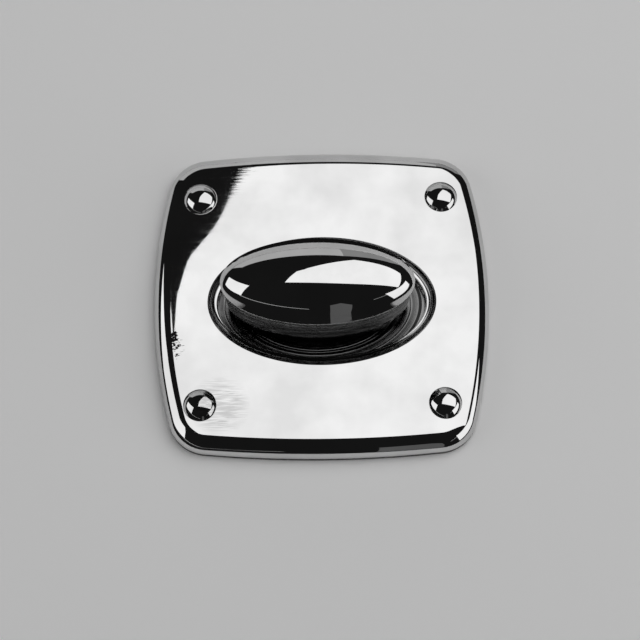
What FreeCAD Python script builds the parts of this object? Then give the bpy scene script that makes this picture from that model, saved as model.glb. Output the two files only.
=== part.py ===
import FreeCAD, Part
import math
import os

V = FreeCAD.Vector

# Twist lock clasp for a bag flap, in millimetres.
# The origin lies under the middle of the face plate, on the surface that the clasp lies on.
# +Z points up through the knob, and +X runs along the oval opening.

# Levels above the surface
flange_top = 0.95
rim_bottom = 0.60
face_level = 2.83
face_thickness = 0.95

# Barrel-shaped outline of the face plate
plate_half_length = 19.0
plate_half_width = 18.15
side_bow_radius = 59.5
end_bow_radius = 131.0
plate_corner_radius = 4.5
rim_wall = 1.30

# Rolled edge of the face plate: a small lip, a crowned bevel, then a round down to the wall
lip_radius = 0.40
bevel_start_angle = 27.0
bevel_end_angle = 45.0
bevel_radius = 4.7
round_radius = 1.60

# Domes at the corners, cast in one with the plate, and the bosses behind them
dome_inset_x = 5.25
dome_inset_y = 5.70
dome_radius = 1.85
dome_height = 0.90
boss_radius = 2.0

# Oval opening of the face plate and its dished recess
opening_half_length = 13.0
opening_half_width = 7.65
opening_lip_radius = 0.30
dish_radius = 0.85
dish_slope_angle = 62.0
hole_step = 0.185
collar_wall = 1.10
collar_clearance = 0.05

# Backing plate behind the bag's flap, drawn up against the face plate's rim
back_plate_inset = 0.05
back_plate_hole_clearance = 0.30

# Countersunk screws of the face plate
screw_radius = 1.0
screw_head_radius = 1.55
screw_head_rim = 0.05
screw_reach = 2.0
screw_hole_spare = 0.20
screw_slot_width = 0.45
screw_slot_depth = 0.25

# Knob half: it sits a little off the middle of the opening
knob_shift_x = -0.45
flange_half_length = 14.6
flange_half_width = 9.4
pedestal_half_length = 9.6
pedestal_half_width = 4.3
pedestal_top = 3.0
pedestal_roof = 0.80
tapped_hole_radius = 0.80
tapped_hole_spacing = 15.2

# Chamber of the detent spring, open underneath, and its cover
chamber_half_length = 5.5
chamber_half_width = 2.9
chamber_corner_radius = 0.8
cover_thickness = 0.45
cover_ledge = 0.55
cover_clearance = 0.03

# Pin, square cam and detent spring
pin_radius = 1.5
pin_clearance = 0.05
pin_tail_radius = 1.0
pin_grip = 3.6
rivet_head_radius = 1.45
rivet_head_height = 0.25
cam_side = 3.6
cam_corner_radius = 0.4
cam_thickness = 1.10
cam_washer_radius = 1.7
cam_washer_thickness = 0.20
cam_clearance = 0.05
spring_thickness = 0.30
spring_clearance = 0.02
spring_depth = 0.9
spring_end_clearance = 0.25

# Oval knob
knob_half_length = 10.9
knob_half_width = 5.15
knob_lip_level = 8.25
knob_cap_height = 3.12
knob_lip_height = 0.30
knob_lip_overhang = 0.20
knob_foot_half_length = 10.35
knob_foot_half_width = 4.80
knob_wall = 1.25
knob_roof = 1.6
knob_boss_radius = 2.6
thrust_washer_radius = 2.9
thrust_washer_thickness = 0.20


def barrel_arcs(inset):
    """The plate's outline, moved in by inset: four bowed sides and four round corners.

    Each arc is its centre's x and y, its radius and the two angles that it runs between.
    The first starts in the middle of the +X side.
    """
    half_x = plate_half_length - inset
    half_y = plate_half_width - inset
    side_radius = side_bow_radius - inset
    end_radius = end_bow_radius - inset
    corner = plate_corner_radius - inset
    side_x = half_x - side_radius
    end_y = half_y - end_radius
    # The corner arc touches both bows from inside, so its centre lies on two circles.
    to_side = side_radius - corner
    to_end = end_radius - corner
    span = math.hypot(side_x, end_y)
    along = (to_side ** 2 - to_end ** 2 + span ** 2) / (2 * span)
    across = math.sqrt(to_side ** 2 - along ** 2)
    corner_x = side_x + (-side_x * along - end_y * across) / span
    corner_y = (end_y * along - side_x * across) / span
    side_angle = math.atan2(corner_y, corner_x - side_x)
    end_angle = math.atan2(corner_y - end_y, corner_x)
    half_turn = math.pi
    full_turn = 2 * math.pi
    return [
        (side_x, 0, side_radius, 0, side_angle),
        (corner_x, corner_y, corner, side_angle, end_angle),
        (0, end_y, end_radius, end_angle, half_turn - end_angle),
        (-corner_x, corner_y, corner, half_turn - end_angle, half_turn - side_angle),
        (-side_x, 0, side_radius, half_turn - side_angle, half_turn + side_angle),
        (-corner_x, -corner_y, corner, half_turn + side_angle, half_turn + end_angle),
        (0, -end_y, end_radius, half_turn + end_angle, full_turn - end_angle),
        (corner_x, -corner_y, corner, full_turn - end_angle, full_turn - side_angle),
        (side_x, 0, side_radius, full_turn - side_angle, full_turn),
    ]


def barrel_wire(inset, level):
    edges = []
    for centre_x, centre_y, radius, start, end in barrel_arcs(inset):
        points = []
        for angle in (start, (start + end) / 2, end):
            points.append(V(centre_x + radius * math.cos(angle), centre_y + radius * math.sin(angle), level))
        edges.append(Part.Arc(*points).toShape())
    return Part.Wire(edges)


def barrel_slab(inset, bottom, top):
    return Part.Face(barrel_wire(inset, bottom)).extrude(V(0, 0, top - bottom))


def oval_wire(half_x, half_y, level, centre_x=0.0):
    ellipse = Part.Ellipse(V(centre_x, 0, level), half_x, half_y)
    return Part.Wire(ellipse.toShape())


def oval_slab(half_x, half_y, bottom, top, centre_x=0.0):
    return Part.Face(oval_wire(half_x, half_y, bottom, centre_x)).extrude(V(0, 0, top - bottom))


def oval_loft(sections, ruled=False):
    """Solid through ellipses, each given as half length, half width, level and centre x."""
    wires = [oval_wire(half_x, half_y, level, centre_x) for half_x, half_y, level, centre_x in sections]
    return Part.makeLoft(wires, True, ruled)


def disc(radius, bottom, top, x=0.0, y=0.0):
    return Part.makeCylinder(radius, top - bottom, V(x, y, bottom))


def rounded_block(half_x, half_y, corner, bottom, top, centre_x=0.0):
    block = Part.makeBox(2 * half_x, 2 * half_y, top - bottom, V(centre_x - half_x, -half_y, bottom))
    upright = [edge for edge in block.Edges if abs(edge.tangentAt(edge.FirstParameter).z) > 0.99]
    return block.makeFillet(corner, upright)


def dome_places():
    out_x = plate_half_length - dome_inset_x
    out_y = plate_half_width - dome_inset_y
    return [(-out_x, out_y), (out_x, out_y), (-out_x, -out_y), (out_x, -out_y)]


def edge_profile_points():
    """Arcs of the rolled edge, as distance in from the outermost wall and depth below the face.

    Each arc turns the surface from one slope to the next, starting flat on the face.
    """
    start = math.radians(bevel_start_angle)
    end = math.radians(bevel_end_angle)
    upright = math.pi / 2
    spans = ((lip_radius, 0.0, start), (bevel_radius, start, end), (round_radius, end, upright))
    width = sum(r * (math.sin(b) - math.sin(a)) for r, a, b in spans)
    out = 0.0
    down = 0.0
    arcs = []
    for radius, first, last in spans:
        points = []
        for slope in (first, (first + last) / 2, last):
            step_out = radius * (math.sin(slope) - math.sin(first))
            step_down = radius * (math.cos(first) - math.cos(slope))
            points.append((width - out - step_out, down + step_down))
        out += radius * (math.sin(last) - math.sin(first))
        down += radius * (math.cos(first) - math.cos(last))
        arcs.append(points)
    return arcs


def edge_cutters():
    """Everything outside the rolled edge: its profile revolved about each arc of the outline in turn."""
    margin = 1.0
    profile_arcs = edge_profile_points()
    cutters = []
    for centre_x, centre_y, radius, start, end in barrel_arcs(0.0):

        def place(point):
            inset, depth = point
            return V(radius - inset, 0, face_level - depth)

        edges = [Part.Arc(place(a), place(b), place(c)).toShape() for a, b, c in profile_arcs]
        first = place(profile_arcs[0][0])
        last = place(profile_arcs[-1][2])
        corners = [
            last,
            V(radius + margin, 0, last.z),
            V(radius + margin, 0, face_level + margin),
            V(first.x, 0, face_level + margin),
            first,
        ]
        edges += [Part.LineSegment(a, b).toShape() for a, b in zip(corners, corners[1:])]
        wedge = Part.Face(Part.Wire(edges)).revolve(V(0, 0, 0), V(0, 0, 1), math.degrees(end - start))
        wedge.rotate(V(0, 0, 0), V(0, 0, 1), math.degrees(start))
        wedge.translate(V(centre_x, centre_y, 0))
        cutters.append(wedge)
    return cutters


def dish_sections():
    """Ellipses of the recess from the face down: a rounded lip, then a concave dish to the step."""
    slope = math.radians(dish_slope_angle)
    lip = []
    steps = 3
    for i in range(steps + 1):
        a = slope * i / steps
        inset = opening_lip_radius * math.sin(a)
        depth = opening_lip_radius * (1 - math.cos(a))
        lip.append((inset, depth))
    dish = []
    for i in range(steps + 1):
        a = slope * (1 - i / steps)
        inset = lip[-1][0] + dish_radius * (math.sin(slope) - math.sin(a))
        depth = lip[-1][1] + dish_radius * (math.cos(a) - math.cos(slope))
        dish.append((inset, depth))
    return lip, dish


def opening_cutter():
    lip, dish = dish_sections()
    tools = []
    for part_sections in (lip, dish):
        wires = []
        for inset, depth in part_sections:
            wires.append((opening_half_length - inset, opening_half_width - inset, face_level - depth, 0.0))
        tools.append(oval_loft(wires, ruled=True))
    hole = hole_inset()
    tools.append(oval_slab(opening_half_length - hole, opening_half_width - hole, rim_bottom, face_level))
    return tools


def hole_inset():
    return dish_sections()[1][-1][0] + hole_step


def dome(x, y):
    """Low round dome that stands on the face, a part of a ball."""
    ball = (dome_radius ** 2 + dome_height ** 2) / (2 * dome_height)
    sphere = Part.makeSphere(ball, V(x, y, face_level + dome_height - ball))
    keep = disc(ball, face_level - face_thickness / 2, face_level + dome_height + 1, x, y)
    return sphere.common(keep)


def front_plate():
    """Die-cast face plate: rolled edge, hollow back, dished opening, four domes with bosses."""
    body = barrel_slab(0.0, rim_bottom, face_level)
    body = body.cut(edge_cutters())
    underside = face_level - face_thickness
    body = body.cut(barrel_slab(rim_wall, rim_bottom - 1, underside))
    hole = hole_inset()
    collar_x = opening_half_length - hole + collar_wall
    collar_y = opening_half_width - hole + collar_wall
    collar = oval_slab(collar_x, collar_y, flange_top + collar_clearance, underside)
    body = body.fuse(collar)
    for x, y in dome_places():
        boss = disc(boss_radius, rim_bottom, underside, x, y)
        body = body.fuse([boss, dome(x, y)])
    for tool in opening_cutter():
        body = body.cut(tool)
    for x, y in dome_places():
        body = body.cut(disc(screw_radius, 0, rim_bottom + screw_reach + screw_hole_spare, x, y))
    return body.removeSplitter()


def countersunk_head(x, y):
    """Head of a countersunk screw, as thick as the back plate: a short rim, then a cone down to the shank."""
    rim = disc(screw_head_radius, 0, screw_head_rim, x, y)
    cone = Part.makeCone(screw_head_radius, screw_radius, rim_bottom - screw_head_rim, V(x, y, screw_head_rim))
    return rim.fuse(cone)


def flap_back_plate():
    """Stamped plate behind the flap, as thick as the room under the rim, with an oval hole round
    the knob half's flange and four countersunk screw holes."""
    plate = barrel_slab(back_plate_inset, 0, rim_bottom)
    hole_x = abs(knob_shift_x) + flange_half_length + back_plate_hole_clearance
    hole_y = flange_half_width + back_plate_hole_clearance
    plate = plate.cut(oval_slab(hole_x, hole_y, -1, rim_bottom + 1))
    for x, y in dome_places():
        plate = plate.cut(countersunk_head(x, y))
    return plate


def frame_screw(x, y):
    """Small slotted screw from behind, its countersunk head flush in the back plate."""
    shank = disc(screw_radius, rim_bottom, rim_bottom + screw_reach, x, y)
    slot = Part.makeBox(3 * screw_head_radius, screw_slot_width, 2 * screw_slot_depth)
    slot.translate(V(x - 1.5 * screw_head_radius, y - screw_slot_width / 2, -screw_slot_depth))
    return countersunk_head(x, y).fuse(shank).cut(slot).removeSplitter()


def chamber_roof():
    return pedestal_top - pedestal_roof


def base_casting():
    """Knob half's base: oval flange with an oval pedestal, hollow underneath for the spring."""
    flange = oval_slab(flange_half_length, flange_half_width, 0, flange_top, knob_shift_x)
    pedestal = oval_slab(pedestal_half_length, pedestal_half_width, 0, pedestal_top, knob_shift_x)
    body = flange.fuse(pedestal)
    chamber = rounded_block(chamber_half_length, chamber_half_width, chamber_corner_radius,
                            -1, chamber_roof(), knob_shift_x)
    ledge = rounded_block(chamber_half_length + cover_ledge, chamber_half_width + cover_ledge,
                          chamber_corner_radius + cover_ledge, -1, cover_thickness, knob_shift_x)
    body = body.cut([chamber, ledge])
    body = body.cut(disc(pin_radius + pin_clearance, 0, pedestal_top + 1, knob_shift_x))
    for side in (-1, 1):
        hole_y = side * tapped_hole_spacing / 2
        body = body.cut(disc(tapped_hole_radius, -1, flange_top + 1, knob_shift_x, hole_y))
    return body.removeSplitter()


def spring_cover():
    """Flat plate staked over the spring chamber, flush with the flange's underside."""
    grow = cover_ledge - cover_clearance
    return rounded_block(chamber_half_length + grow, chamber_half_width + grow, chamber_corner_radius + grow,
                         0, cover_thickness, knob_shift_x)


def cam_top():
    return chamber_roof() - cam_clearance


def rivet_head_top():
    return cam_top() - cam_thickness - cam_washer_thickness


def knob_pin():
    """Steel pin pressed into the knob, its thinner tail riveted over the cam's washer."""
    foot = pedestal_top + thrust_washer_thickness
    shaft = disc(pin_radius, cam_top(), foot + pin_grip, knob_shift_x)
    tail = disc(pin_tail_radius, rivet_head_top(), cam_top(), knob_shift_x)
    head = disc(rivet_head_radius, rivet_head_top() - rivet_head_height, rivet_head_top(), knob_shift_x)
    return shaft.fuse([tail, head]).removeSplitter()


def detent_cam():
    """Square cam that the spring's two legs grip at every quarter turn."""
    block = rounded_block(cam_side / 2, cam_side / 2, cam_corner_radius,
                          cam_top() - cam_thickness, cam_top(), knob_shift_x)
    return block.cut(disc(pin_tail_radius, 0, pedestal_top, knob_shift_x))


def cam_washer():
    ring = disc(cam_washer_radius, rivet_head_top(), rivet_head_top() + cam_washer_thickness, knob_shift_x)
    return ring.cut(disc(pin_tail_radius, 0, pedestal_top, knob_shift_x))


def detent_spring():
    """Flat spring bent to a U, one leg along each side of the cam."""
    inner = cam_side / 2 + spring_clearance
    outer = inner + spring_thickness
    bottom = cam_top() - (cam_thickness + spring_depth) / 2
    reach = chamber_half_length - spring_end_clearance
    bend_x = knob_shift_x + reach - outer
    end_x = knob_shift_x - reach

    def strip(radius):
        ends = [V(bend_x, side * radius, bottom) for side in (-1, 1)]
        return Part.Arc(ends[0], V(bend_x + radius, 0, bottom), ends[1]).toShape()

    def line(start_x, start_y, stop_x, stop_y):
        return Part.LineSegment(V(start_x, start_y, bottom), V(stop_x, stop_y, bottom)).toShape()

    edges = [strip(inner), strip(outer)]
    for side in (-1, 1):
        for radius in (inner, outer):
            edges.append(line(end_x, side * radius, bend_x, side * radius))
        edges.append(line(end_x, side * inner, end_x, side * outer))
    outline = Part.Wire(Part.__sortEdges__(edges))
    return Part.Face(outline).extrude(V(0, 0, spring_depth))


def thrust_washer():
    """Thin washer that carries the knob on the pedestal."""
    ring = disc(thrust_washer_radius, pedestal_top, pedestal_top + thrust_washer_thickness, knob_shift_x)
    return ring.cut(disc(pin_radius + pin_clearance, 0, pedestal_top + 1, knob_shift_x))


def knob_cap():
    """Domed cap through ever smaller ellipses: its height falls off with the square of the way out."""
    rings = 9
    wires = []
    for i in range(rings):
        way_out = 1 - i / rings
        level = knob_lip_level + knob_cap_height * (1 - way_out ** 2)
        wires.append(oval_wire(knob_half_length * way_out, knob_half_width * way_out, level, knob_shift_x))
    top = Part.Vertex(V(knob_shift_x, 0, knob_lip_level + knob_cap_height))
    return Part.makeLoft(wires + [top], True, True)


def knob():
    """Oval knob: domed cap with a fine lip, a tapering skirt under it, cored out from below."""
    foot = pedestal_top + thrust_washer_thickness
    skirt_top = knob_lip_level - knob_lip_height
    cap = knob_cap()
    lip = oval_slab(knob_half_length, knob_half_width, skirt_top, knob_lip_level, knob_shift_x)
    skirt = oval_loft([
        (knob_foot_half_length, knob_foot_half_width, foot, knob_shift_x),
        (knob_half_length - knob_lip_overhang, knob_half_width - knob_lip_overhang, skirt_top, knob_shift_x),
    ], ruled=True)
    body = cap.fuse([lip, skirt])
    core = oval_slab(knob_foot_half_length - knob_wall, knob_foot_half_width - knob_wall,
                     foot, knob_lip_level - knob_roof, knob_shift_x)
    core = core.cut(disc(knob_boss_radius, foot, knob_lip_level, knob_shift_x))
    body = body.cut(core)
    body = body.cut(disc(pin_radius, foot, foot + pin_grip, knob_shift_x))
    return body


def export(shape, node):
    shape.exportStep("parts/" + node + ".step")


os.makedirs("parts", exist_ok=True)
export(front_plate(), "front_plate")
export(flap_back_plate(), "flap_back_plate")
for number, (screw_x, screw_y) in enumerate(dome_places(), start=1):
    export(frame_screw(screw_x, screw_y), "frame_screw_%d" % number)
export(base_casting(), "base_casting")
export(spring_cover(), "spring_cover")
export(detent_spring(), "detent_spring")
export(knob(), "knob")
export(knob_pin(), "knob_pin")
export(detent_cam(), "detent_cam")
export(cam_washer(), "cam_washer")
export(thrust_washer(), "thrust_washer")
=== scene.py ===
import math

import bmesh
import bpy
import numpy as np
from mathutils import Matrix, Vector
from mathutils.geometry import delaunay_2d_cdt


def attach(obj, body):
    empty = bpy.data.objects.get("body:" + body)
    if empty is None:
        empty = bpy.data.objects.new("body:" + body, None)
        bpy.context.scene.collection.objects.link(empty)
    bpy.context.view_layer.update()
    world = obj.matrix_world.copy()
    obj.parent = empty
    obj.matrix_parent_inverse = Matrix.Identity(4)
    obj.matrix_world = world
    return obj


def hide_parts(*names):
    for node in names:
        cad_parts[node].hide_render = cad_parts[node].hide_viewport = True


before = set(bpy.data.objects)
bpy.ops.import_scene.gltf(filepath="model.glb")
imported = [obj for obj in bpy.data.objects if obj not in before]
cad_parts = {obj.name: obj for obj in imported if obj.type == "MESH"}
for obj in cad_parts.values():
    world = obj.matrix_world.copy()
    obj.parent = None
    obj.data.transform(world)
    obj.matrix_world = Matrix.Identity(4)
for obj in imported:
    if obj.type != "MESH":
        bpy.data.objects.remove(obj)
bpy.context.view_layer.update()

mm = 0.001


# Face plate of the flap half: zinc, die-cast in one with its rolled edge, its dished
# oval opening and its four corner domes, then polished all over and nickel plated.
# Screws from behind hold it to the flap, so its front has no fixing of its own.

plate_half_length = 19.0
plate_half_width = 18.36
side_bow_radius = 59.5
end_bow_radius = 131.0
plate_corner_radius = 4.5
rim_bottom = 0.60
rim_wall = 1.30
face_level = 2.83
underside = face_level - 0.95

edge_radii = (0.75, 2.1, 2.1, 4.0, 1.58)
edge_slopes = [math.radians(slope) for slope in (0, 17, 22.5, 34, 46, 90)]
edge_steps = (7, 4, 6, 8, 14)
rim_break = 0.06

dome_inset_x = 5.25
dome_inset_y = 5.93
dome_shift_y = -0.10
dome_radius = 1.85
dome_height = 0.90
dome_foot = 0.06
dome_steps = 96
dome_foot_rows = 7
dome_ball_rows = 26
boss_radius = 2.0
boss_end = 0.60
screw_radius = 1.0
screw_hole_end = 2.8
screw_steps = 48

face_crown_radius = 400.0
face_crown_reach = 14.1
side_fall_start = 15.4
side_fall_reach = 1.7
side_fall = 0.0048

opening_half_length = 13.0
opening_half_width = 7.76
opening_shift_y = -0.29
opening_lip_radius = 0.30
dish_radius = 0.85
dish_slope = math.radians(62)
lip_steps = (8, 16)
hole_step = 0.185
hole_break = 0.03
collar_wall = 1.10
collar_end = 1.0
opening_steps = 360

outline_steps = 480
corner_share = 4
fewest_steps = 4
hold = 0.02
face_spacing = 0.32
back_spacing = 3.0


def barrel_outline(count):
    """Points and outward directions round the plate's outermost wall.

    Four wide arcs bow the sides and four small ones round the corners. Each arc's
    points lie at centre + radius * (cos, sin), shared out by length, with a corner's
    length counted corner_share times so that it gets closer points.
    """
    side_x = plate_half_length - side_bow_radius
    end_y = plate_half_width - end_bow_radius
    small = plate_corner_radius
    to_side = side_bow_radius - small
    to_end = end_bow_radius - small
    span = math.hypot(side_x, end_y)
    along = (to_side ** 2 - to_end ** 2 + span ** 2) / (2 * span)
    across = math.sqrt(to_side ** 2 - along ** 2)
    corner_x = side_x + (-side_x * along - end_y * across) / span
    corner_y = (end_y * along - side_x * across) / span
    side_angle = math.atan2(corner_y, corner_x - side_x)
    end_angle = math.atan2(corner_y - end_y, corner_x)
    arcs = [
        (side_x, 0, side_bow_radius, -side_angle, side_angle, 1),
        (corner_x, corner_y, small, side_angle, end_angle, corner_share),
        (0, end_y, end_bow_radius, end_angle, math.pi - end_angle, 1),
        (-corner_x, corner_y, small, math.pi - end_angle, math.pi - side_angle, corner_share),
        (-side_x, 0, side_bow_radius, math.pi - side_angle, math.pi + side_angle, 1),
        (-corner_x, -corner_y, small, math.pi + side_angle, math.pi + end_angle, corner_share),
        (0, -end_y, end_bow_radius, math.pi + end_angle, 2 * math.pi - end_angle, 1),
        (corner_x, -corner_y, small, -end_angle, -side_angle, corner_share),
    ]
    weights = np.array([radius * (last - first) * share for _, _, radius, first, last, share in arcs])
    steps = np.maximum(fewest_steps, np.round(count * weights / weights.sum()).astype(int))
    points = []
    outward = []
    for (cx, cy, radius, first, last, _), n in zip(arcs, steps):
        angle = first + (last - first) * np.arange(n) / n
        direction = np.stack([np.cos(angle), np.sin(angle)], axis=1)
        points.append(np.array([cx, cy]) + radius * direction)
        outward.append(direction)
    return np.concatenate(points), np.concatenate(outward)


def turned_profile(arcs, steps):
    """Points of a profile made of arcs, as (distance, depth), each turning from one slope to the next.

    Along an arc of radius r the distance grows with r * (sin slope) and the depth with
    r * (1 - cos slope).
    """
    rows = [np.zeros((1, 2))]
    for (radius, first, last), n in zip(arcs, steps):
        slope = first + (last - first) * np.arange(1, n + 1) / n
        further = np.sin(slope) - math.sin(first)
        deeper = math.cos(first) - np.cos(slope)
        rows.append(rows[-1][-1] + radius * np.stack([further, deeper], axis=1))
    return np.concatenate(rows)


def barrel_rings(profile, outline, outward):
    """Rings parallel to the plate's outline: each profile point is (inset, level).

    A ring's points lie at outline - inset * outward.
    """
    rings = []
    for inset, level in profile:
        flat = outline - inset * outward
        rings.append(np.column_stack([flat, np.full(len(flat), level)]))
    return rings


def oval_rings(profile, half_x, half_y, count, shift_y=0.0):
    """Rings round an oval, at ((a - inset) * cos, (b - inset) * sin): a profile point is (inset, level)."""
    angle = 2 * np.pi * np.arange(count) / count
    rings = []
    for inset, level in profile:
        x = (half_x - inset) * np.cos(angle)
        y = (half_y - inset) * np.sin(angle) + shift_y
        rings.append(np.column_stack([x, y, np.full(count, level)]))
    return rings


def inside_ring(points, ring):
    """Whether each point lies inside a closed ring.

    It does where a line to its right crosses an odd number of the ring's sides.
    """
    x, y = points[:, :1], points[:, 1:2]
    x0, y0 = ring[:, 0], ring[:, 1]
    x1, y1 = np.roll(x0, -1), np.roll(y0, -1)
    rise = np.where(y1 == y0, 1e-12, y1 - y0)
    crosses = ((y0 > y) != (y1 > y)) & (x < x0 + (y - y0) * (x1 - x0) / rise)
    return crosses.sum(axis=1) % 2 == 1


class Shell:
    """Gathers rings of points and joins them into one closed skin."""

    def __init__(self):
        self.points = []
        self.faces = []
        self.total = 0

    def add_points(self, points):
        """Adds points and returns their indices."""
        start = self.total
        self.points.append(np.asarray(points, float))
        self.total += len(points)
        return np.arange(start, self.total)

    def band(self, lower, upper):
        """Quads between two rings of equal count."""
        after_lower = np.roll(lower, -1)
        after_upper = np.roll(upper, -1)
        self.faces += np.column_stack([lower, after_lower, after_upper, upper]).tolist()

    def rings(self, rings):
        """Adds every ring and the bands between them, and returns the first and last ring's indices."""
        ids = [self.add_points(ring) for ring in rings]
        for lower, upper in zip(ids, ids[1:]):
            self.band(lower, upper)
        return ids[0], ids[-1]

    def fan(self, ring, point):
        """Closes a ring with triangles to one point."""
        centre = self.add_points([point])[0]
        after = np.roll(ring, -1)
        self.faces += np.column_stack([ring, after, np.full(len(ring), centre)]).tolist()

    def flat(self, outer, holes, spacing):
        """Fills the flat area between an outer ring and its holes with triangles that share their points.

        A square lattice of extra points, spacing apart and kept off every ring, lets it
        take a soft crown later.
        """
        every = np.concatenate([outer] + holes)
        cloud = np.concatenate(self.points)
        ring_xy = cloud[every][:, :2]
        level = cloud[outer[0], 2]
        low = ring_xy.min(axis=0)
        high = ring_xy.max(axis=0)
        across = np.arange(low[0], high[0], spacing)
        along = np.arange(low[1], high[1], spacing)
        grid_x, grid_y = np.meshgrid(across, along)
        lattice = np.column_stack([grid_x.ravel(), grid_y.ravel()])
        away = lattice[:, None, :] - ring_xy[None, ::2, :]
        nearest = np.sqrt((away ** 2).sum(axis=2)).min(axis=1)
        inside = inside_ring(lattice, cloud[outer][:, :2])
        for hole in holes:
            inside &= ~inside_ring(lattice, cloud[hole][:, :2])
        clear_of_rings = 0.6 * spacing
        lattice = lattice[inside & (nearest > clear_of_rings)]
        loops = []
        start = 0
        for loop in [outer] + holes:
            size = len(loop)
            loops += [(start + i, start + (i + 1) % size) for i in range(size)]
            start += size
        flat_points = [Vector(p) for p in np.concatenate([ring_xy, lattice]).tolist()]
        out_points, _, out_faces, origin, _, _ = delaunay_2d_cdt(flat_points, loops, [], 0, 1e-7)
        extra = self.add_points(np.column_stack([lattice, np.full(len(lattice), level)]))
        lookup = np.concatenate([every, extra])
        out_xy = np.array([p[:] for p in out_points])
        ids = np.array([lookup[o[0]] for o in origin])
        tris = np.array(out_faces)
        middle = out_xy[tris].mean(axis=1)
        keep = inside_ring(middle, cloud[outer][:, :2])
        for hole in holes:
            keep &= ~inside_ring(middle, cloud[hole][:, :2])
        self.faces += ids[tris[keep]].tolist()

    def piece(self, name, material):
        """The shell as an object whose faces all point outwards."""
        data = bpy.data.meshes.new(name)
        data.from_pydata((np.concatenate(self.points) * mm).tolist(), [], self.faces)
        form = bmesh.new()
        form.from_mesh(data)
        bmesh.ops.recalc_face_normals(form, faces=form.faces)
        form.to_mesh(data)
        form.free()
        data.shade_smooth()
        data.materials.append(material)
        made = bpy.data.objects.new(name, data)
        bpy.context.scene.collection.objects.link(made)
        return made


def screw_places():
    """The four screws stand as far in from the plate's sides as the domes do."""
    out_x = plate_half_length - dome_inset_x
    out_y = plate_half_width - dome_inset_y
    return [(x, y) for y in (out_y, -out_y) for x in (-out_x, out_x)]


def round_rings(profile, x, y, count):
    """Rings round an upright axis, at (x + r * cos, y + r * sin): a profile point is (radius, level)."""
    angle = 2 * np.pi * np.arange(count) / count
    return [
        np.column_stack([x + r * np.cos(angle), y + r * np.sin(angle), np.full(count, level)])
        for r, level in profile
    ]


def dome_profile():
    """From the foot's edge on the face up to just below the top: a hollow foot radius, then the ball.

    The ball's radius is (r^2 + h^2) / 2h for the dome's radius r and height h.
    """
    ball = (dome_radius ** 2 + dome_height ** 2) / (2 * dome_height)
    centre = face_level + dome_height - ball
    foot_level = face_level + dome_foot
    foot_reach = math.sqrt((ball + dome_foot) ** 2 - (foot_level - centre) ** 2)
    apron = [(foot_reach + hold, face_level)]
    tilt = math.atan2(foot_level - centre, foot_reach)
    hollow = np.linspace(math.pi / 2, tilt, dome_foot_rows)
    foot_out = foot_reach - dome_foot * np.cos(hollow)
    foot = np.stack([foot_out, foot_level - dome_foot * np.sin(hollow)], axis=1)
    rise = np.linspace(tilt, math.pi / 2, dome_ball_rows)[1:-1]
    top = np.stack([ball * np.cos(rise), centre + ball * np.sin(rise)], axis=1)
    return np.concatenate([apron, foot, top])


def crown_face(points):
    """Gives the face its soft crown and lets it fall away a little along its two bowed sides.

    At distance r from the middle the crown stands (reach^2 - r^2) / 2R higher. The fall
    grows with the square of the way past its start, measured parallel to the bow.
    """
    height = np.clip((points[:, 2] - rim_bottom) / (face_level - rim_bottom), 0, 1)
    out_squared = (points[:, :2] ** 2).sum(axis=1)
    toward_side = np.abs(points[:, 0]) + points[:, 1] ** 2 / (2 * side_bow_radius)
    past = np.clip(toward_side - side_fall_start, 0, side_fall_reach)
    crown = (face_crown_reach ** 2 - out_squared) / (2 * face_crown_radius)
    points[:, 2] += height * (crown - side_fall * past ** 2)


def plate_shell():
    """The whole casting as one skin: outer rim, face, domes, opening, collar, hollow back and bosses."""
    shell = Shell()
    outline, outward = barrel_outline(outline_steps)
    arcs = list(zip(edge_radii, edge_slopes, edge_slopes[1:]))
    width = sum(r * (math.sin(b) - math.sin(a)) for r, a, b in arcs)
    edge = turned_profile(arcs, edge_steps)
    rim_profile = [(rim_wall, rim_bottom), (rim_break, rim_bottom), (0, rim_bottom + rim_break)]
    rim_profile += [(width - out, face_level - down) for out, down in edge[::-1]]
    rim_profile.append((width + hold, face_level))
    back = [(rim_wall, underside), (rim_wall, rim_bottom + hold)]
    rim = barrel_rings(rim_profile, outline, outward)
    rim_first, face_outer = shell.rings(rim)
    under_outer, under_last = shell.rings(barrel_rings(back, outline, outward))
    shell.band(under_last, rim_first)
    lip_arcs = [(opening_lip_radius, 0, dish_slope), (-dish_radius, dish_slope, 0)]
    lip = turned_profile(lip_arcs, lip_steps)
    step = lip[-1][0] + hole_step
    floor = face_level - lip[-1][1]
    dish = [(-hold, face_level)]
    dish += [(inset, face_level - depth) for inset, depth in lip]
    dish += [(step - hole_break, floor), (step, floor - hole_break), (step, collar_end)]
    collar = [(step - collar_wall, collar_end), (step - collar_wall, underside)]
    hole_first, hole_last = shell.rings(oval_rings(
        dish + collar, opening_half_length, opening_half_width, opening_steps, opening_shift_y))
    dome_feet = []
    boss_feet = []
    for x, y in screw_places():
        dome_y = y + dome_shift_y
        foot, last = shell.rings(round_rings(dome_profile(), x, dome_y, dome_steps))
        shell.fan(last, (x, dome_y, face_level + dome_height))
        dome_feet.append(foot)
        boss = [
            (boss_radius, underside),
            (boss_radius, boss_end),
            (screw_radius, boss_end),
            (screw_radius, screw_hole_end),
        ]
        top, bottom = shell.rings([ring[::-1] for ring in round_rings(boss, x, y, screw_steps)])
        shell.fan(bottom, (x, y, screw_hole_end))
        boss_feet.append(top)
    shell.flat(face_outer, [hole_first] + dome_feet, face_spacing)
    shell.flat(under_outer, [hole_last] + boss_feet, back_spacing)
    for points in shell.points:
        crown_face(points)
    return shell


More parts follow.
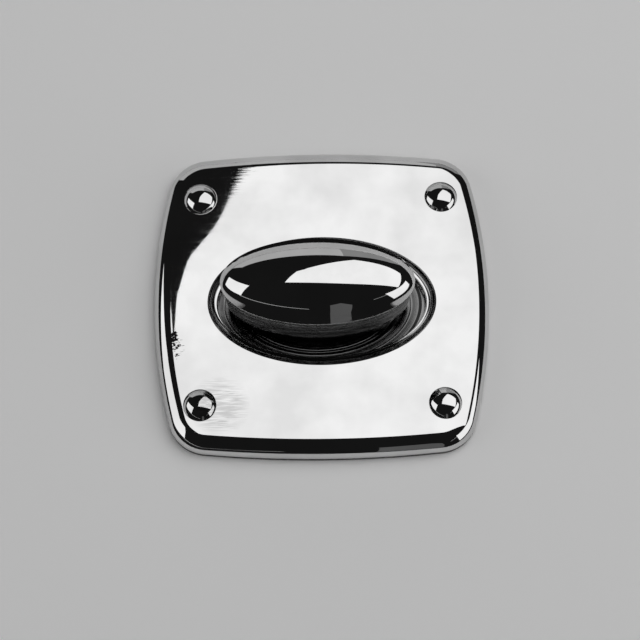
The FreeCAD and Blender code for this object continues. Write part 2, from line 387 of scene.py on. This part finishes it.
class Finish:
    """A metal surface, built up from noise in the piece's own coordinates."""

    def __init__(self, name, tone, roughness):
        self.material = bpy.data.materials.new(name)
        self.material.use_nodes = True
        self.nodes = self.material.node_tree.nodes
        self.link = self.material.node_tree.links.new
        self.shader = self.nodes["Principled BSDF"]
        self.shader.inputs["Base Color"].default_value = (tone, tone, tone * 1.01, 1)
        self.shader.inputs["Metallic"].default_value = 1
        self.shader.inputs["Roughness"].default_value = roughness
        self.place = self.nodes.new("ShaderNodeTexCoord").outputs["Object"]

    def noise(self, per_metre, detail=2):
        """Noise whose grain repeats so many times per metre along X, Y and Z."""
        mapping = self.nodes.new("ShaderNodeMapping")
        mapping.inputs["Scale"].default_value = per_metre
        self.link(self.place, mapping.inputs["Vector"])
        texture = self.nodes.new("ShaderNodeTexNoise")
        texture.inputs["Scale"].default_value = 1
        texture.inputs["Detail"].default_value = detail
        self.link(mapping.outputs["Vector"], texture.inputs["Vector"])
        return texture.outputs["Fac"]

    def rings(self, centre, sizes, per_size):
        """Noise in rings round an upright axis, read at the length of (place - centre) / sizes."""
        mapping = self.nodes.new("ShaderNodeMapping")
        mapping.inputs["Location"].default_value = [-c / size for c, size in zip(centre, sizes)]
        mapping.inputs["Scale"].default_value = [1 / size for size in sizes]
        self.link(self.place, mapping.inputs["Vector"])
        flat = self.nodes.new("ShaderNodeVectorMath")
        flat.operation = "MULTIPLY"
        flat.inputs[1].default_value = (1, 1, 0)
        self.link(mapping.outputs["Vector"], flat.inputs[0])
        length = self.nodes.new("ShaderNodeVectorMath")
        length.operation = "LENGTH"
        self.link(flat.outputs["Vector"], length.inputs[0])
        texture = self.nodes.new("ShaderNodeTexNoise")
        texture.noise_dimensions = "1D"
        texture.inputs["Scale"].default_value = per_size
        texture.inputs["Detail"].default_value = 3
        self.link(length.outputs["Value"], texture.inputs["W"])
        return texture.outputs["Fac"]

    def near(self, centre, full, none):
        """1 within a distance of a point, falling to 0 at a larger distance."""
        away = self.nodes.new("ShaderNodeVectorMath")
        away.operation = "DISTANCE"
        away.inputs[1].default_value = [c * mm for c in centre]
        self.link(self.place, away.inputs[0])
        return self.ranged(away.outputs["Value"], full * mm, none * mm, 1, 0)

    def height(self):
        """How high a point lies above the floor, in metres."""
        split = self.nodes.new("ShaderNodeSeparateXYZ")
        self.link(self.place, split.inputs["Vector"])
        return split.outputs["Z"]

    def ranged(self, source, low, high, to_low, to_high):
        """Carries low..high over to to_low..to_high in a straight line, and holds the ends."""
        node = self.nodes.new("ShaderNodeMapRange")
        node.inputs["From Min"].default_value = low
        node.inputs["From Max"].default_value = high
        node.inputs["To Min"].default_value = to_low
        node.inputs["To Max"].default_value = to_high
        self.link(source, node.inputs["Value"])
        return node.outputs["Result"]

    def product(self, first, second):
        node = self.nodes.new("ShaderNodeMath")
        node.operation = "MULTIPLY"
        self.link(first, node.inputs[0])
        self.link(second, node.inputs[1])
        return node.outputs["Value"]

    def choose(self, share, first, second):
        """first where share is 0 and second where it is 1; each is a number or a socket."""
        node = self.nodes.new("ShaderNodeMix")
        self.link(share, node.inputs["Factor"])
        for socket, value in (("A", first), ("B", second)):
            if isinstance(value, (int, float)):
                node.inputs[socket].default_value = value
            else:
                self.link(value, node.inputs[socket])
        return node.outputs["Result"]

    def set(self, socket, source):
        self.link(source, self.shader.inputs[socket])

    def relief(self, *layers):
        """Lays one bump over another, each given as its height source and its depth in metres."""
        normal = None
        for source, depth in layers:
            bump = self.nodes.new("ShaderNodeBump")
            bump.inputs["Strength"].default_value = 1
            bump.inputs["Distance"].default_value = depth
            self.link(source, bump.inputs["Height"])
            if normal is not None:
                self.link(normal, bump.inputs["Normal"])
            normal = bump.outputs["Normal"]
        self.link(normal, self.shader.inputs["Normal"])

    def dress(self, node):
        """Puts the finish on a CAD node in place of its plain one."""
        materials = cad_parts[node].data.materials
        materials.clear()
        materials.append(self.material)


dark_streak_place = (-11.6, -12.6, 2.9)
buffed_place = (-8.6, 17.0, 2.9)
dented_place = (-15.9, -5.6, 2.8)

face_finish = Finish("polished nickel", 0.66, 0.012)
clouds = face_finish.noise((160, 160, 160), 3)
cloud_tone = face_finish.ranged(clouds, 0.35, 0.65, 0.60, 0.70)
# Streaks of darker base colour, down to 0.72 of the tone, beside the lower-left dome's foot.
dark_streaks = face_finish.ranged(face_finish.noise((500, 6500, 6500), 3), 0.42, 0.60, 1, 0)
dark_streak_share = face_finish.product(dark_streaks, face_finish.near(dark_streak_place, 2.0, 3.6))
dark_streak_tone = face_finish.ranged(dark_streak_share, 0, 1, 1, 0.72)
face_finish.set("Base Color", face_finish.product(cloud_tone, dark_streak_tone))
fine_lines = face_finish.noise((90, 5200, 5200), 3)
face_finish.set("Roughness", face_finish.ranged(fine_lines, 0.35, 0.75, 0.008, 0.040))
wheel_lines = face_finish.noise((200, 4200, 4200), 3)
buffing = face_finish.product(wheel_lines, face_finish.near(buffed_place, 1.0, 6.0))
knocks = face_finish.noise((900, 2500, 900), 2)
dent = face_finish.product(knocks, face_finish.near(dented_place, 0.2, 2.0))
waves = face_finish.noise((300, 300, 300), 1)
face_finish.relief((waves, 0.0000022), (buffing, 0.0000028), (dent, 0.000022))

face_plate = plate_shell().piece("face_plate", face_finish.material)
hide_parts("front_plate")
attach(face_plate, "flap_half")


# Backing plate and its four countersunk screws, which clamp the bag's flap from behind.
# The plate is stamped from steel sheet; its near-black colour is painted shade of the gap
# under the face plate's rim, and only its edge shows, as that thin dark line. The screws are turned steel,
# nickel plated.

back_plate_inset = 0.05
back_hole_half_length = 15.35
back_hole_half_width = 9.7
back_hole_steps = 240
sink_radius = 1.55
sheet_break = 0.05


def back_plate_shell():
    """A flat sheet with the barrel's outline, an oval hole for the base and four countersunk holes."""
    shell = Shell()
    outline, outward = barrel_outline(outline_steps)
    wall = [
        (back_plate_inset + sheet_break, 0),
        (back_plate_inset, sheet_break),
        (back_plate_inset, rim_bottom - sheet_break),
        (back_plate_inset + sheet_break, rim_bottom),
    ]
    bottom, top = shell.rings(barrel_rings(wall, outline, outward))
    hole = [(0, 0), (0, rim_bottom)]
    hole_bottom, hole_top = shell.rings(
        oval_rings(hole, back_hole_half_length, back_hole_half_width, back_hole_steps))
    bottoms = [hole_bottom]
    tops = [hole_top]
    for x, y in screw_places():
        sink = [(sink_radius, 0), (sink_radius, sheet_break), (screw_radius, rim_bottom)]
        low, high = shell.rings(round_rings(sink, x, y, screw_steps))
        bottoms.append(low)
        tops.append(high)
    shell.flat(bottom, bottoms, back_spacing)
    shell.flat(top, tops, back_spacing)
    return shell


gap_shade_sheet = Finish("gap shade black sheet", 0.02, 0.35)
blotches = gap_shade_sheet.noise((700, 700, 700), 4)
rolling_lines = gap_shade_sheet.noise((2400, 300, 300), 2)
# Near-black base colour, 0.008 to 0.035: painted shade of the gap under the face plate's rim.
gap_shade_sheet.set("Base Color", gap_shade_sheet.ranged(blotches, 0.3, 0.7, 0.008, 0.035))
gap_shade_sheet.set("Roughness", gap_shade_sheet.ranged(rolling_lines, 0.3, 0.7, 0.25, 0.5))
gap_shade_sheet.relief((gap_shade_sheet.noise((3000, 3000, 3000), 3), 0.000012))

back_plate = back_plate_shell().piece("back_plate", gap_shade_sheet.material)
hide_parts("flap_back_plate")
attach(back_plate, "flap_half")

for number, (x, y) in enumerate(screw_places(), start=1):
    turned = Finish("turned screw %d" % number, 0.5, 0.2)
    marks = turned.rings((x * mm, y * mm, 0), (mm, mm, mm), 14)
    turned.set("Base Color", turned.ranged(marks, 0.3, 0.7, 0.38, 0.56))
    turned.set("Roughness", turned.ranged(marks, 0.3, 0.7, 0.12, 0.34))
    turned.relief((marks, 0.000008))
    turned.dress("frame_screw_%d" % number)


# Turning knob: zinc, die-cast in one with its domed cap, the fine lip round it and the
# tapering skirt, cored out from below so that the casting cools evenly. Its cap is
# polished and its skirt is left as it came from the tumbling barrel, then it is plated.

knob_shift_x = -0.45
knob_half_length = 10.9
knob_half_width = 5.15
knob_lip_level = 8.40
knob_cap_height = 3.24
knob_flank_angle = math.radians(53)
knob_lip_height = 0.16
lip_bottom = knob_lip_level - knob_lip_height
knob_lip_overhang = 0.20
knob_lip_round = 0.10
knob_edge_break = 0.04
knob_lip_step = 0.01
knob_foot_level = 3.2
knob_foot_half_length = 10.35
knob_foot_half_width = 4.80
knob_wall = 1.25
knob_core_top = 6.4
knob_boss_radius = 2.6
knob_bore_radius = 1.5
knob_bore_top = 6.8
knob_steps = 360
cap_rows = 80
lip_rows = 6
skirt_rows = 8
ridge_share = 0.64


def sized_oval_rings(rows):
    """Rings round an oval, at (a * cos, b * sin): a row is (half length a, half width b, level)."""
    angle = 2 * np.pi * np.arange(knob_steps) / knob_steps
    rings = []
    for half_x, half_y, level in rows:
        x = knob_shift_x + half_x * np.cos(angle)
        rings.append(np.column_stack([x, half_y * np.sin(angle), np.full(knob_steps, level)]))
    return rings


def knob_cap_rings():
    """Rings of the cap, from the lip up.

    Across its middle the cap is an arc of a circle that runs out into a straight flank:
    the arc's radius is (w * sin f - h * cos f) / (1 - cos f) for half width w, height h
    and flank angle f. The same section, made lower and narrower, follows the knob along,
    with its ridge at h * (s * (1 - x^2) + (1 - s) * (1 - x^7)), where x is 1 at the tips
    and s is ridge_share.
    """
    flank = knob_flank_angle
    arc = (knob_half_width * math.sin(flank) - knob_cap_height * math.cos(flank)) / (1 - math.cos(flank))
    angle = 2 * np.pi * np.arange(knob_steps) / knob_steps
    lip_inset = knob_lip_round * (1 - math.sin(flank))
    rings = []
    for way_out in np.sin(np.linspace(math.pi / 2, 0, cap_rows + 1)[:-1]):
        x = way_out * np.abs(np.cos(angle))
        y = way_out * np.sin(angle)
        ridge = ridge_share * (1 - x ** 2) + (1 - ridge_share) * (1 - x ** 7)
        widest = np.sqrt(np.maximum(1 - x ** 2, 1e-9))
        across = knob_half_width * np.minimum(np.abs(y) / widest, 1)
        round_part = knob_cap_height - arc + np.sqrt(np.maximum(arc ** 2 - across ** 2, 0))
        straight_part = (knob_half_width - across) * math.tan(flank)
        section = np.where(across < arc * math.sin(flank), round_part, straight_part)
        rings.append(np.column_stack([
            knob_shift_x + (knob_half_length - lip_inset) * way_out * np.cos(angle),
            (knob_half_width - lip_inset) * y,
            knob_lip_level + ridge * section,
        ]))
    return rings


def knob_shell():
    """The cap, the rounded lip, the tapering skirt, and the core with its bored boss below.

    The lip turns from upright to the cap's flank on an arc of knob_lip_round.
    """
    shell = Shell()
    under_lip_x = knob_half_length - knob_lip_overhang
    under_lip_y = knob_half_width - knob_lip_overhang
    soft = knob_edge_break
    rows = [
        (knob_foot_half_length - soft, knob_foot_half_width - soft, knob_foot_level),
        (knob_foot_half_length, knob_foot_half_width, knob_foot_level + soft),
    ]
    for share in np.linspace(0, 1, skirt_rows + 1)[1:]:
        rows.append((
            knob_foot_half_length + share * (under_lip_x - knob_foot_half_length),
            knob_foot_half_width + share * (under_lip_y - knob_foot_half_width),
            knob_foot_level + share * (lip_bottom - knob_foot_level),
        ))
    rows += [
        (under_lip_x + soft, under_lip_y + soft, lip_bottom + knob_lip_step),
        (knob_half_length - soft, knob_half_width - soft, lip_bottom + knob_lip_step),
        (knob_half_length, knob_half_width, lip_bottom + soft + knob_lip_step),
    ]
    for lean in np.linspace(math.pi / 2, knob_flank_angle, lip_rows + 1)[:-1]:
        inset = knob_lip_round * (1 - math.sin(lean))
        drop = knob_lip_round * (math.cos(knob_flank_angle) - math.cos(lean))
        rows.append((knob_half_length - inset, knob_half_width - inset, knob_lip_level - drop))
    outer_first, outer_last = shell.rings(sized_oval_rings(rows) + knob_cap_rings())
    shell.fan(outer_last, (knob_shift_x, 0, knob_lip_level + knob_cap_height))
    core_x = knob_foot_half_length - knob_wall
    core_y = knob_foot_half_width - knob_wall
    below = [
        (core_x, core_y, knob_foot_level),
        (core_x, core_y, knob_core_top),
        (knob_boss_radius, knob_boss_radius, knob_core_top),
        (knob_boss_radius, knob_boss_radius, knob_foot_level),
        (knob_bore_radius, knob_bore_radius, knob_foot_level),
        (knob_bore_radius, knob_bore_radius, knob_bore_top),
    ]
    core_first, core_last = shell.rings(sized_oval_rings(below))
    shell.band(core_first, outer_first)
    shell.fan(core_last, (knob_shift_x, 0, knob_bore_top))
    return shell


skirt_finish_end = (lip_bottom - 0.04) * mm
lip_finish_start = (lip_bottom + 0.01) * mm
lip_finish_end = (knob_lip_level - 0.02) * mm
cap_finish_start = knob_lip_level * mm
lip_dullness = 0.42

knob_finish = Finish("polished cap and tumbled skirt", 0.66, 0.012)
level = knob_finish.height()
below_lip = knob_finish.ranged(level, skirt_finish_end, lip_finish_start, 1, 0)
below_cap = knob_finish.ranged(level, lip_finish_end, cap_finish_start, 1, 0)
cap_tone = knob_finish.ranged(knob_finish.noise((260, 260, 260), 3), 0.35, 0.65, 0.62, 0.70)
skirt_tone = knob_finish.ranged(knob_finish.noise((150, 150, 2300), 3), 0.42, 0.66, 0.10, 0.62)
knob_finish.set("Base Color", knob_finish.choose(below_lip, cap_tone, skirt_tone))
cap_gloss = knob_finish.ranged(knob_finish.noise((90, 5200, 5200), 3), 0.35, 0.75, 0.008, 0.035)
lip_gloss = knob_finish.choose(below_cap, cap_gloss, lip_dullness)
skirt_gloss = knob_finish.ranged(knob_finish.noise((300, 300, 3600), 2), 0.3, 0.7, 0.07, 0.20)
knob_finish.set("Roughness", knob_finish.choose(below_lip, lip_gloss, skirt_gloss))
skirt_lines = knob_finish.product(knob_finish.noise((90, 90, 4200), 2), below_lip)
knob_finish.relief((knob_finish.noise((340, 340, 340), 1), 0.0000020), (skirt_lines, 0.000005))

oval_knob = knob_shell().piece("oval_knob", knob_finish.material)
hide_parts("knob")
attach(oval_knob, "turning_knob")


# Base of the knob half: zinc, die-cast in one with its flange and pedestal and left
# unpolished. Its dark colour is painted shade for the bottom of the recess. Faint rings from the trimming
# tool run round its flange, which is what shows at the bottom of the recess.

flange_half_length = 14.6
flange_half_width = 9.4

recess_shade_base = Finish("casting darkened as recess shade", 0.1, 0.15)
flange_sizes = (flange_half_length * mm, flange_half_width * mm, mm)
trim_marks = recess_shade_base.rings((knob_shift_x * mm, 0, 0), flange_sizes, 42)
grain = recess_shade_base.noise((1500, 1500, 1500), 3)
# Base colour 0.02 to 0.26: the trimming rings, on a darkness that is painted shade of the recess.
recess_shade_base.set("Base Color", recess_shade_base.ranged(trim_marks, 0.35, 0.7, 0.02, 0.26))
recess_shade_base.set("Roughness", recess_shade_base.ranged(grain, 0.3, 0.7, 0.08, 0.22))
recess_shade_base.relief((trim_marks, 0.00003), (grain, 0.000006))
recess_shade_base.dress("base_casting")


# Spring cover and detent spring: both of steel strip. The cover is plated dull and staked
# in; the spring is bent to a U and hardened, which leaves it dark, under a film of oil.

cover_finish = Finish("dull plated cover", 0.4, 0.3)
cover_grain = cover_finish.noise((200, 3800, 3800), 3)
cover_finish.set("Base Color", cover_finish.ranged(cover_grain, 0.3, 0.7, 0.32, 0.46))
cover_finish.set("Roughness", cover_finish.ranged(cover_grain, 0.3, 0.7, 0.22, 0.40))
cover_finish.relief((cover_grain, 0.000006))
cover_finish.dress("spring_cover")

spring_finish = Finish("oiled spring steel", 0.12, 0.22)
spring_grain = spring_finish.noise((300, 300, 4200), 3)
spring_finish.set("Base Color", spring_finish.ranged(spring_grain, 0.3, 0.7, 0.07, 0.16))
spring_finish.set("Roughness", spring_finish.ranged(spring_grain, 0.3, 0.7, 0.15, 0.32))
spring_finish.relief((spring_grain, 0.000005))
spring_finish.dress("detent_spring")


# Pin, square cam and the two washers: bright steel. The pin is turned and its lower end
# is hammered over as a rivet; the cam and washers are pressed from sheet.

for node, low_tone, high_tone, ring_pitch in (
    ("knob_pin", 0.36, 0.56, 16),
    ("detent_cam", 0.28, 0.46, 5),
    ("cam_washer", 0.36, 0.54, 10),
    ("thrust_washer", 0.36, 0.54, 8),
):
    steel = Finish("bright steel " + node.replace("_", " "), 0.5, 0.2)
    turning = steel.rings((knob_shift_x * mm, 0, 0), (mm, mm, mm), ring_pitch)
    dents = steel.noise((1800, 1800, 1800), 2)
    steel.set("Base Color", steel.ranged(turning, 0.3, 0.7, low_tone, high_tone))
    steel.set("Roughness", steel.ranged(dents, 0.3, 0.7, 0.14, 0.36))
    steel.relief((turning, 0.000006), (dents, 0.000008))
    steel.dress(node)


# The stage: white paper under the clasp, large soft lamps round it and dark walls beyond,
# which give the polished metal its crisp white and black. Only the paper is seen directly.

floor_tone = 0.92
floor_lift = 0.07
floor_reach = 2.5
wall_glow = 0.010
wall_reach = 1.7
wall_height = 2.2
world_tone = 0.51


def stage_material(name, tone, glow=0.0):
    """A dull material that may glow."""
    material = bpy.data.materials.new(name)
    material.use_nodes = True
    shader = material.node_tree.nodes["Principled BSDF"]
    shader.inputs["Base Color"].default_value = (tone, tone, tone, 1)
    shader.inputs["Roughness"].default_value = 1
    shader.inputs["Specular IOR Level"].default_value = 0
    shader.inputs["Emission Color"].default_value = (1, 1, 1, 1)
    shader.inputs["Emission Strength"].default_value = glow
    return material


def lift_where_seen(material, lift):
    """Makes a material look paler to the eye, in metal and through glass, without lighting dull things.

    Its glow is lift * (camera ray + glossy ray + transmission ray).
    """
    nodes = material.node_tree.nodes
    link = material.node_tree.links.new
    ray = nodes.new("ShaderNodeLightPath")
    seen = ray.outputs["Is Camera Ray"]
    for way in ("Is Glossy Ray", "Is Transmission Ray"):
        both = nodes.new("ShaderNodeMath")
        both.operation = "ADD"
        link(seen, both.inputs[0])
        link(ray.outputs[way], both.inputs[1])
        seen = both.outputs["Value"]
    glow = nodes.new("ShaderNodeMath")
    glow.operation = "MULTIPLY"
    glow.inputs[1].default_value = lift
    link(seen, glow.inputs[0])
    link(glow.outputs["Value"], nodes["Principled BSDF"].inputs["Emission Strength"])


def stage_sheet(name, corners, material):
    """A flat sheet between corners given in metres."""
    data = bpy.data.meshes.new(name)
    data.from_pydata(corners, [], [tuple(range(len(corners)))])
    data.materials.append(material)
    made = bpy.data.objects.new(name, data)
    bpy.context.scene.collection.objects.link(made)
    return made


def square(reach):
    return [(-reach, -reach), (reach, -reach), (reach, reach), (-reach, reach)]


paper = stage_material("white paper", floor_tone)
lift_where_seen(paper, floor_lift)
stage_sheet("floor", [(x, y, 0) for x, y in square(floor_reach)], paper)

dark_cloth = stage_material("dark cloth", 0.0, wall_glow)
room = square(wall_reach)
walls = ("wall_front", "wall_right", "wall_back", "wall_left")
for name, (x0, y0), (x1, y1) in zip(walls, room, room[1:] + room[:1]):
    wall = [(x0, y0, 0), (x1, y1, 0), (x1, y1, wall_height), (x0, y0, wall_height)]
    stage_sheet(name, wall, dark_cloth).visible_camera = False
stage_sheet("ceiling", [(x, y, wall_height) for x, y in room], dark_cloth).visible_camera = False


def toward(elevation, azimuth, distance):
    """Point in a direction: elevation above the floor, azimuth from +Y round by +X, both in degrees."""
    e = math.radians(elevation)
    a = math.radians(azimuth)
    level = distance * math.cos(e)
    return (level * math.sin(a), level * math.cos(a), distance * math.sin(e))


# Each lamp or card is its glow and its corners, each as elevation, azimuth and distance in metres.

lamp_glow = 1.25
lamps = {
    "main_lamp": (lamp_glow, [
        (73.9, -110, 0.70),
        (67.4, -24, 0.75),
        (64.3, -13, 0.76),
        (61.9, -9.2, 0.77),
        (34, 16.7, 0.95),
        (22, 61, 1.10),
        (29.5, 104, 0.95),
    ]),
    "right_lamp": (lamp_glow, [(17, 78, 0.90), (33, 132, 0.90), (9, 133, 0.90), (9, 85, 0.90)]),
    "left_lamp": (lamp_glow, [(12, -64, 0.60), (49, -103, 0.60), (23, -124, 0.60), (8, -80, 0.60)]),
    "backdrop_left": (0.54, [(19, -40, 1.25), (25, 10, 1.25), (0.3, 6, 1.20), (0.3, -43, 1.20)]),
    "backdrop_right": (0.30, [(25, 10, 1.25), (12, 33, 1.25), (0.3, 40, 1.20), (0.3, 6, 1.20)]),
    "front_card": (0.115, [
        (4, 175, 0.90),
        (27, 174, 0.90),
        (31, 168, 0.90),
        (24, 163, 0.90),
        (4, 166, 0.90),
    ]),
    "left_slit": (0.5, [(21, -122, 0.90), (22.4, -122, 0.90), (18.4, -176, 0.90), (17.6, -176, 0.90)]),
    "right_slit": (0.35, [(27, 148, 0.90), (28, 148, 0.90), (30, 124, 0.90), (29.2, 124, 0.90)]),
}
for name, (glow, corners) in lamps.items():
    glowing = stage_material(name + " cloth", 0.0, glow)
    stage_sheet(name, [toward(*corner) for corner in corners], glowing).visible_camera = False

world = bpy.data.worlds.new("studio")
bpy.context.scene.world = world
world.use_nodes = True
world_color = (world_tone, world_tone, world_tone, 1)
world.node_tree.nodes["Background"].inputs["Color"].default_value = world_color


# The camera looks down on the clasp from its front edge, about 20 degrees off upright.
# Its lens follows from its distance and from how many pixels a millimetre takes up.

camera_distance = 0.380
camera_tilt = math.radians(20)
camera_roll = math.radians(-0.58)
pixels_per_mm = 8.79
image_width = 640
sensor = 36.0
aim = Vector((-0.22 * mm, -1.55 * mm, 0))
lens = pixels_per_mm * camera_distance / mm * sensor / image_width
camera_data = bpy.data.cameras.new("camera")
camera_data.lens = lens
camera_data.sensor_width = sensor
camera = bpy.data.objects.new("camera", camera_data)
bpy.context.scene.collection.objects.link(camera)
toward_camera = Vector((0, -math.sin(camera_tilt), math.cos(camera_tilt)))
camera.location = aim + camera_distance * toward_camera
camera.rotation_euler = (camera_tilt, 0, 0)
camera.rotation_euler.rotate_axis("Z", camera_roll)
bpy.context.scene.camera = camera
bpy.context.scene.view_settings.view_transform = "Standard"
